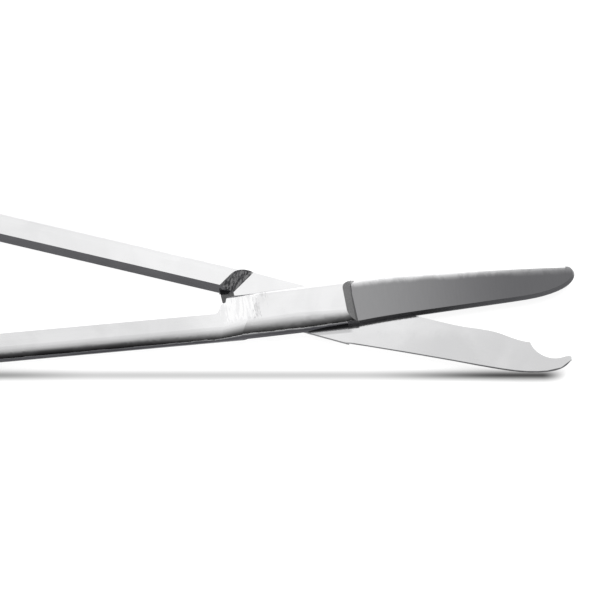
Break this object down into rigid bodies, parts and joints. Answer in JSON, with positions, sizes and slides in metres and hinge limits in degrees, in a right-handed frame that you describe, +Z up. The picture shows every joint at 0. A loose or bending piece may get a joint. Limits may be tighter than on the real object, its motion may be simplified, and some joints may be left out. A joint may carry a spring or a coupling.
{
  "type": "suture scissors",
  "caption": "Steel surgical scissors with finger rings, a screwed lap joint, one plain blade and one blade with a hooked, notched tip for lifting and cutting stitches.",
  "frame": {"origin": "on the pivot axis, at the surface the scissors lie on", "axes": "+X between the two blades towards the tips, +Y towards the plain blade's side, +Z up, square to the blades, away from the surface they lie on"},
  "size_m": [0.1401, 0.0872, 0.0052],
  "materials": {
    "plain_half": "polished, blade satin",
    "hooked_half": "polished, blade satin",
    "pivot_screw": "polished"
  },
  "bodies": {
    "hooked": {"hooked_half": "hooked_half"},
    "plain": {"plain_half": "plain_half", "pivot_screw": "pivot_screw"}
  },
  "joints": [
    {"name": "pivot", "type": "hinge", "parent": "hooked", "child": "plain", "pos_m": [0, 0, 0.0026], "axis": [0, 0, 1], "range_deg": [-20.6, 105]}
  ]
}
